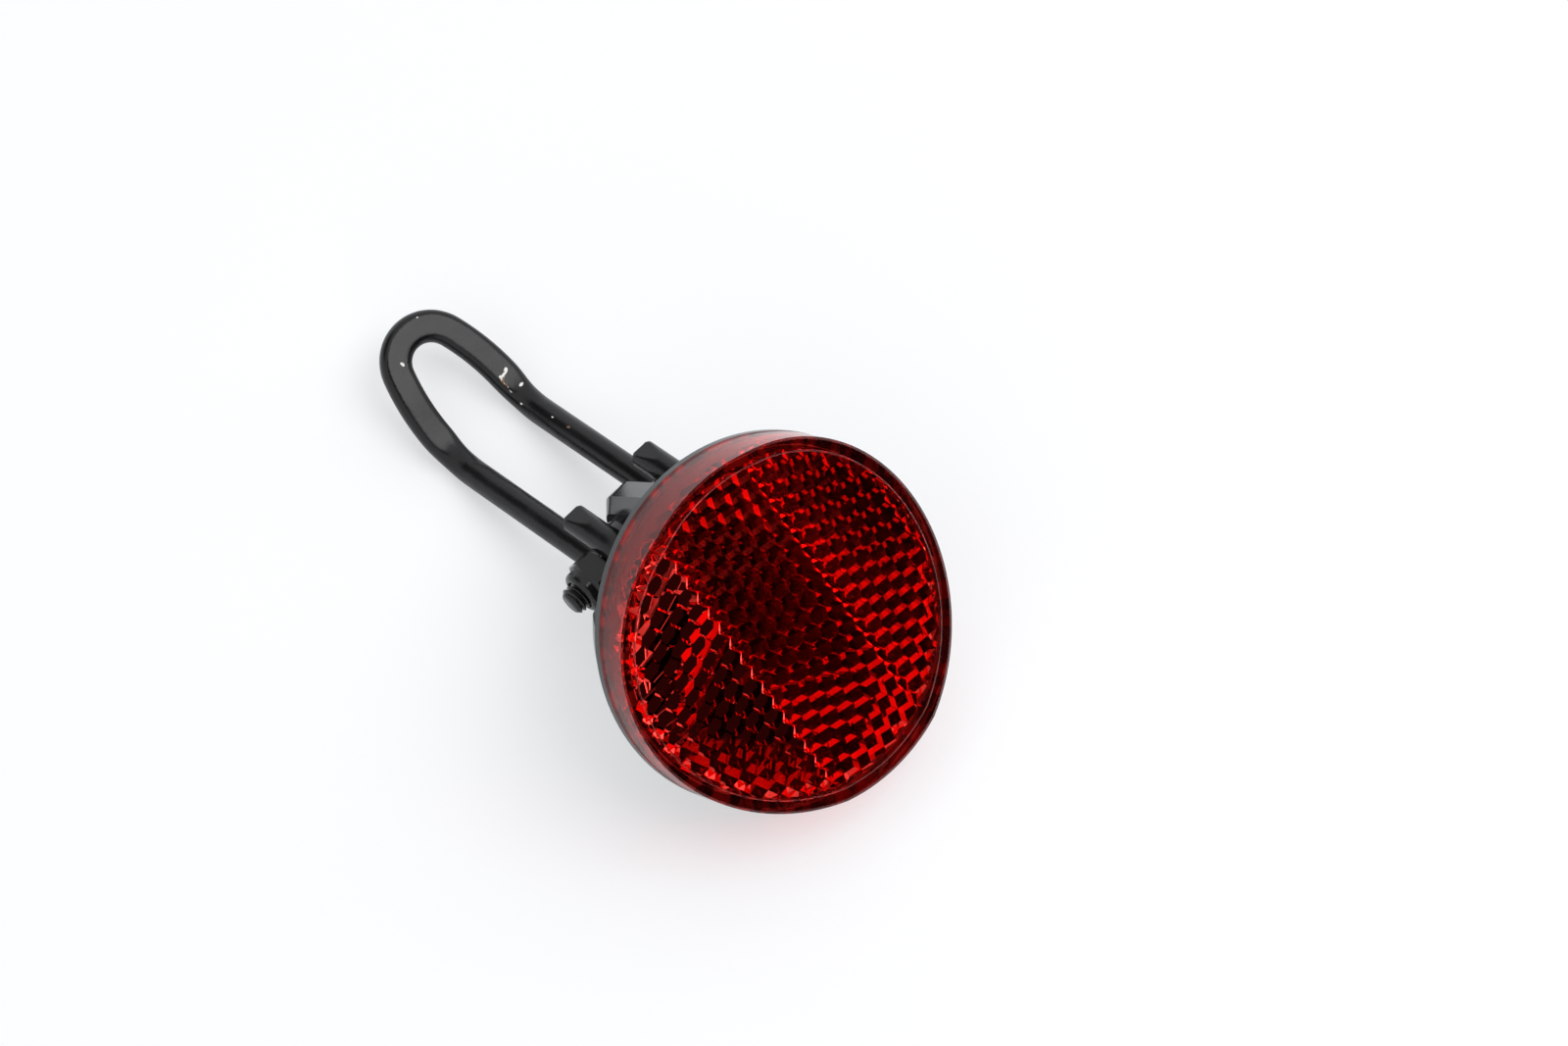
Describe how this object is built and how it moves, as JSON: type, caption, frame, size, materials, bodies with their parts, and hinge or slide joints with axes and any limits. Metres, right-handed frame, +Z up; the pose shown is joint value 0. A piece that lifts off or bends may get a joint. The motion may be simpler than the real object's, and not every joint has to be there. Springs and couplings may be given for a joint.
{
  "type": "bicycle rear reflector",
  "caption": "Round red rear reflector with cube-corner prisms in a black housing, tilting on a cross bolt in a bent wire bracket with a flattened loop for one fixing screw.",
  "frame": {"origin": "centre of the wire loop's closed end, in the middle of the wire's thickness, on the axis of the fixing screw", "axes": "+X along the cross bolt towards its head, +Y out of the loop's back towards the bicycle, +Z up along the loop towards its closed end; the lens faces -Y and down"},
  "size_m": [0.05, 0.057, 0.0866],
  "materials": {
    "lens_red": "clear red moulding, glossy in front, fine prisms behind",
    "housing_black": "black moulding with a soft sheen",
    "wire_paint": "gloss black paint with small chips on the loop",
    "bolt_steel": "blackened steel, slightly oily",
    "nylon": "dark nylon ring"
  },
  "bodies": {
    "bracket": {"wire_bracket": "wire_paint", "pivot_bolt": "bolt_steel", "lock_nut": "bolt_steel", "nut_insert": "nylon"},
    "reflector": {"lens": "lens_red", "rear_housing": "housing_black"}
  },
  "joints": [
    {"name": "reflector_tilt", "type": "hinge", "parent": "bracket", "child": "reflector", "pos_m": [0, -0.02651, -0.03497], "axis": [1, 0, 0], "range_deg": [-70, 110]}
  ]
}
